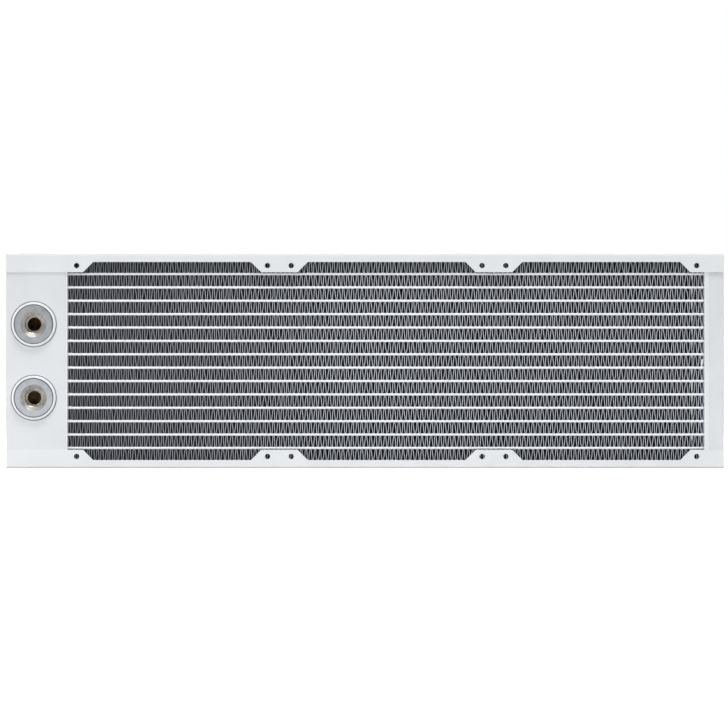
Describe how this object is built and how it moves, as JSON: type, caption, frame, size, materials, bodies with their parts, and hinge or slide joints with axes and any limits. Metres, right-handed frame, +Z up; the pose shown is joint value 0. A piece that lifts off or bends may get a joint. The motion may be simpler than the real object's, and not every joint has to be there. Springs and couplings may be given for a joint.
{
  "type": "liquid cooling radiator",
  "caption": "Slim white computer cooling radiator: flat tubes and corrugated fins between two tanks, channel side rails with fan screw tabs, and threaded coolant ports in front.",
  "frame": {"origin": "middle of the lower side rail's outer face, halfway between the front and back fan planes", "axes": "+X along the radiator from the port tank to the return tank; -Y is the front, where the ports are; +Z up, from the lower rail to the upper one"},
  "size_m": [0.4684, 0.032, 0.14],
  "materials": {
    "rail_paint": "white powder coat with a fine orange peel, semi-gloss",
    "tank_paint": "white powder coat, semi-gloss, over brass",
    "header_paint": "white powder coat over brass",
    "collar_paint": "white powder coat, semi-gloss",
    "tube_paint": "white paint on the rounded noses",
    "core_paint": "white paint, thinner inside the rails",
    "fin_metal": "thin folded sheet, pale paint on its front edges and grey inside",
    "port_nickel": "turned nickel-plated brass, bare",
    "bare_brass": "bare brass inside the tank"
  },
  "bodies": {
    "root": {"core_side_plate_lower": "core_paint", "core_side_plate_upper": "core_paint", "fin_01": "fin_metal", "fin_02": "fin_metal", "fin_03": "fin_metal", "fin_04": "fin_metal", "fin_05": "fin_metal", "fin_06": "fin_metal", "fin_07": "fin_metal", "fin_08": "fin_metal", "fin_09": "fin_metal", "fin_10": "fin_metal", "fin_11": "fin_metal", "fin_12": "fin_metal", "fin_13": "fin_metal", "fin_14": "fin_metal", "fin_15": "fin_metal", "port_collar_lower": "collar_paint", "port_collar_upper": "collar_paint", "port_header_plate": "header_paint", "port_insert_lower": "port_nickel", "port_insert_upper": "port_nickel", "port_tank": "tank_paint", "port_tank_divider": "bare_brass", "return_header_plate": "header_paint", "return_tank": "tank_paint", "side_rail_lower": "rail_paint", "side_rail_upper": "rail_paint", "tube_01": "tube_paint", "tube_02": "tube_paint", "tube_03": "tube_paint", "tube_04": "tube_paint", "tube_05": "tube_paint", "tube_06": "tube_paint", "tube_07": "tube_paint", "tube_08": "tube_paint", "tube_09": "tube_paint", "tube_10": "tube_paint", "tube_11": "tube_paint", "tube_12": "tube_paint", "tube_13": "tube_paint", "tube_14": "tube_paint"}
  },
  "joints": []
}
